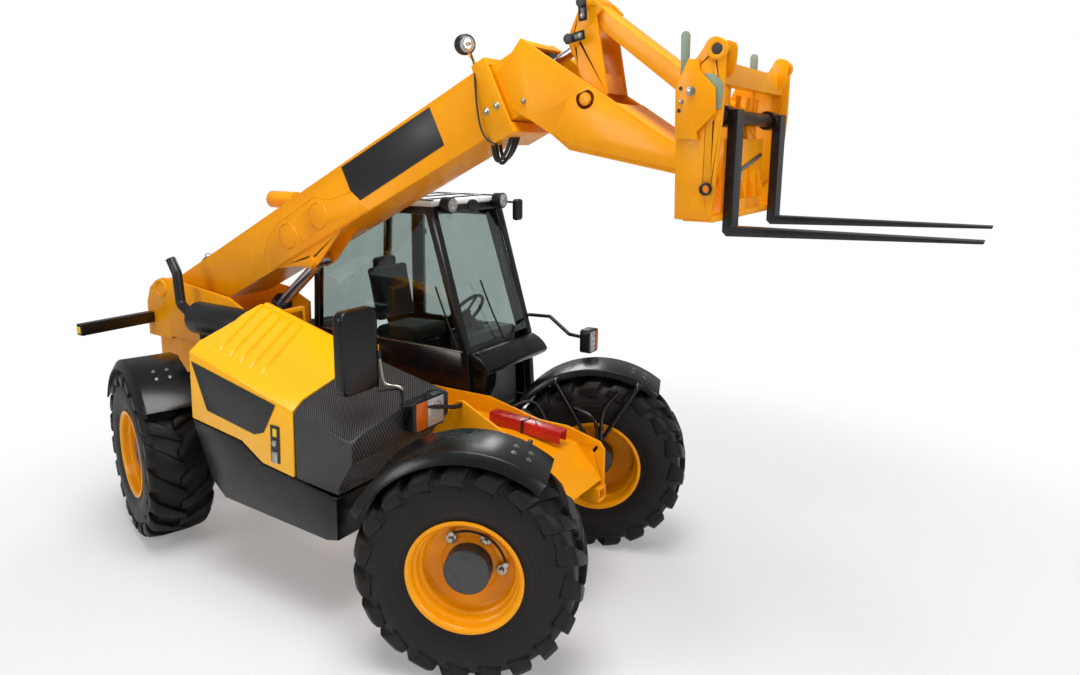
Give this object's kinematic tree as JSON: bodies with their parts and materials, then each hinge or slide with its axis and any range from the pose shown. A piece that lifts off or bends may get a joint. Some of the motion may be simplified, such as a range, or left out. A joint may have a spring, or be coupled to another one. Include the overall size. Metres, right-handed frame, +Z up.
{
  "type": "telehandler",
  "caption": "Rough-terrain telescopic handler with pallet forks, side engine pod, offset cab and four steered wheels.",
  "frame": {"origin": "on the ground, under the middle of the whole machine's bounding box", "axes": "+X forward, +Y to the machine's left, +Z up"},
  "size_m": [6.014, 2.5495, 3.663],
  "materials": {
    "yellow_paint": "gloss",
    "black_paint": "satin",
    "engine_grey": "matt",
    "black_plastic": "satin",
    "black_mesh": "satin",
    "cab_lining": "matt",
    "tinted_glass": "polished",
    "seat_fabric": "woven",
    "red_paint": "satin",
    "chromed_rod": "polished",
    "tyre_rubber": "matt"
  },
  "bodies": {
    "chassis": {"chassis": "yellow_paint", "axles": "black_paint", "engine_block": "engine_grey", "pod_skirt": "black_plastic", "pod_grille": "black_mesh", "intake": "black_plastic", "rear_light_bar": "black_paint", "cab_frame": "black_paint", "cab_roof": "cab_lining", "cab_panels": "black_paint", "cab_glass": "tinted_glass", "seat": "seat_fabric", "cab_console": "cab_lining", "cowl": "black_plastic", "side_tank": "black_plastic", "lamps_mirrors": "black_plastic", "safety_strut": "red_paint"},
    "bonnet": {"bonnet": "yellow_paint"},
    "door": {"cab_door": "black_paint", "door_glass": "tinted_glass"},
    "boom": {"boom": "yellow_paint"},
    "inner_boom": {"inner_boom": "yellow_paint"},
    "tilt_lever": {"tilt_lever": "yellow_paint"},
    "tilt_link": {"tilt_link": "yellow_paint"},
    "carriage": {"carriage": "yellow_paint", "forks": "black_paint"},
    "lift_barrel": {"lift_barrel": "black_paint"},
    "lift_rod": {"lift_rod": "chromed_rod"},
    "tilt_barrel": {"tilt_barrel": "black_paint"},
    "tilt_rod": {"tilt_rod": "chromed_rod"},
    "knuckle_front_right": {"knuckle_front_right": "black_paint", "mudguard_front_right": "black_plastic"},
    "wheel_front_right": {"tyre_front_right": "tyre_rubber", "rim_front_right": "yellow_paint"},
    "knuckle_front_left": {"knuckle_front_left": "black_paint", "mudguard_front_left": "black_plastic"},
    "wheel_front_left": {"tyre_front_left": "tyre_rubber", "rim_front_left": "yellow_paint"},
    "knuckle_rear_right": {"knuckle_rear_right": "black_paint", "mudguard_rear_right": "black_plastic"},
    "wheel_rear_right": {"tyre_rear_right": "tyre_rubber", "rim_rear_right": "yellow_paint"},
    "knuckle_rear_left": {"knuckle_rear_left": "black_paint", "mudguard_rear_left": "black_plastic"},
    "wheel_rear_left": {"tyre_rear_left": "tyre_rubber", "rim_rear_left": "yellow_paint"}
  },
  "joints": [
    {"name": "steer_front_right", "type": "hinge", "parent": "chassis", "child": "knuckle_front_right", "pos_m": [0.727, -0.724, 0.63], "axis": [0, 0, 1], "range_deg": [-62, 22]},
    {"name": "wheel_front_right_spin", "type": "hinge", "parent": "knuckle_front_right", "child": "wheel_front_right", "pos_m": [0.78247, -0.85036, 0.63], "axis": [0.4019, -0.9157, 0], "continuous": true},
    {"name": "steer_front_left", "type": "hinge", "parent": "chassis", "child": "knuckle_front_left", "pos_m": [0.727, 0.724, 0.63], "axis": [0, 0, 1], "range_deg": [-62.5, 22.5]},
    {"name": "wheel_front_left_spin", "type": "hinge", "parent": "knuckle_front_left", "child": "wheel_front_left", "pos_m": [0.67754, 0.85283, 0.63], "axis": [-0.3584, 0.9336, 0], "continuous": true},
    {"name": "steer_rear_right", "type": "hinge", "parent": "chassis", "child": "knuckle_rear_right", "pos_m": [-2.073, -0.724, 0.63], "axis": [0, 0, 1], "range_deg": [-27, 62]},
    {"name": "wheel_rear_right_spin", "type": "hinge", "parent": "knuckle_rear_right", "child": "wheel_rear_right", "pos_m": [-2.11679, -0.85487, 0.63], "axis": [-0.3173, -0.9483, 0], "continuous": true},
    {"name": "steer_rear_left", "type": "hinge", "parent": "chassis", "child": "knuckle_rear_left", "pos_m": [-2.073, 0.724, 0.63], "axis": [0, 0, 1], "range_deg": [-27.5, 62.5]},
    {"name": "wheel_rear_left_spin", "type": "hinge", "parent": "knuckle_rear_left", "child": "wheel_rear_left", "pos_m": [-2.03265, 0.85597, 0.63], "axis": [0.2924, 0.9563, 0], "continuous": true},
    {"name": "bonnet_hinge", "type": "hinge", "parent": "chassis", "child": "bonnet", "pos_m": [-0.8575, -0.42, 1.64], "axis": [-0.971, 0, 0.239], "range_deg": [0, 50]},
    {"name": "door_hinge", "type": "hinge", "parent": "chassis", "child": "door", "pos_m": [-1.186, 1.121, 1.6], "axis": [0, 0, 1], "range_deg": [0, 85]},
    {"name": "boom_lift", "type": "hinge", "parent": "chassis", "child": "boom", "pos_m": [-2.804, 0, 1.698], "axis": [0, -1, 0], "range_deg": [-27, 34]},
    {"name": "boom_extend", "type": "slide", "parent": "boom", "child": "inner_boom", "axis": [0.8973, 0, 0.4415], "range_m": [0, 1.9]},
    {"name": "tilt_lever_hinge", "type": "hinge", "parent": "inner_boom", "child": "tilt_lever", "pos_m": [1.069, 0, 3.113], "axis": [0, -1, 0], "range_deg": [-50, 12]},
    {"name": "carriage_hinge", "type": "hinge", "parent": "inner_boom", "child": "carriage", "pos_m": [1.8, 0, 2.7], "axis": [0, -1, 0], "range_deg": [-71.5, 17.54]},
    {"name": "tilt_link_hinge", "type": "hinge", "parent": "tilt_lever", "child": "tilt_link", "pos_m": [1.033, 0, 3.611], "axis": [0, -1, 0], "range_deg": [-11.18, 45]},
    {"name": "lift_barrel_hinge", "type": "hinge", "parent": "chassis", "child": "lift_barrel", "pos_m": [-2.95, -0.09, 0.55], "axis": [0, -1, 0], "range_deg": [-17.78, 22.26]},
    {"name": "lift_rod_slide", "type": "slide", "parent": "lift_barrel", "child": "lift_rod", "axis": [0.7739, 0, 0.6333], "range_m": [-0.4103, 0.5153]},
    {"name": "tilt_barrel_hinge", "type": "hinge", "parent": "inner_boom", "child": "tilt_barrel", "pos_m": [0.12904, 0, 2.9852], "axis": [0, -1, 0], "range_deg": [-7.5, 2.18]},
    {"name": "tilt_rod_slide", "type": "slide", "parent": "tilt_barrel", "child": "tilt_rod", "axis": [0.8819, 0, 0.4714], "range_m": [-0.0657, 0.2581]}
  ],
  "couplings": [
    {"joint": "steer_front_left", "follows": "steer_front_right", "ratio": 1},
    {"joint": "steer_rear_left", "follows": "steer_rear_right", "ratio": 1},
    {"joint": "carriage_hinge", "follows": "tilt_lever_hinge", "ratio": 1.42},
    {"joint": "tilt_link_hinge", "follows": "tilt_lever_hinge", "ratio": -0.89},
    {"joint": "lift_barrel_hinge", "follows": "boom_lift", "ratio": 0.64},
    {"joint": "lift_rod_slide", "follows": "boom_lift", "m_per_rad": 0.86},
    {"joint": "tilt_barrel_hinge", "follows": "tilt_lever_hinge", "ratio": 0.14},
    {"joint": "tilt_rod_slide", "follows": "tilt_lever_hinge", "m_per_rad": -0.29}
  ]
}
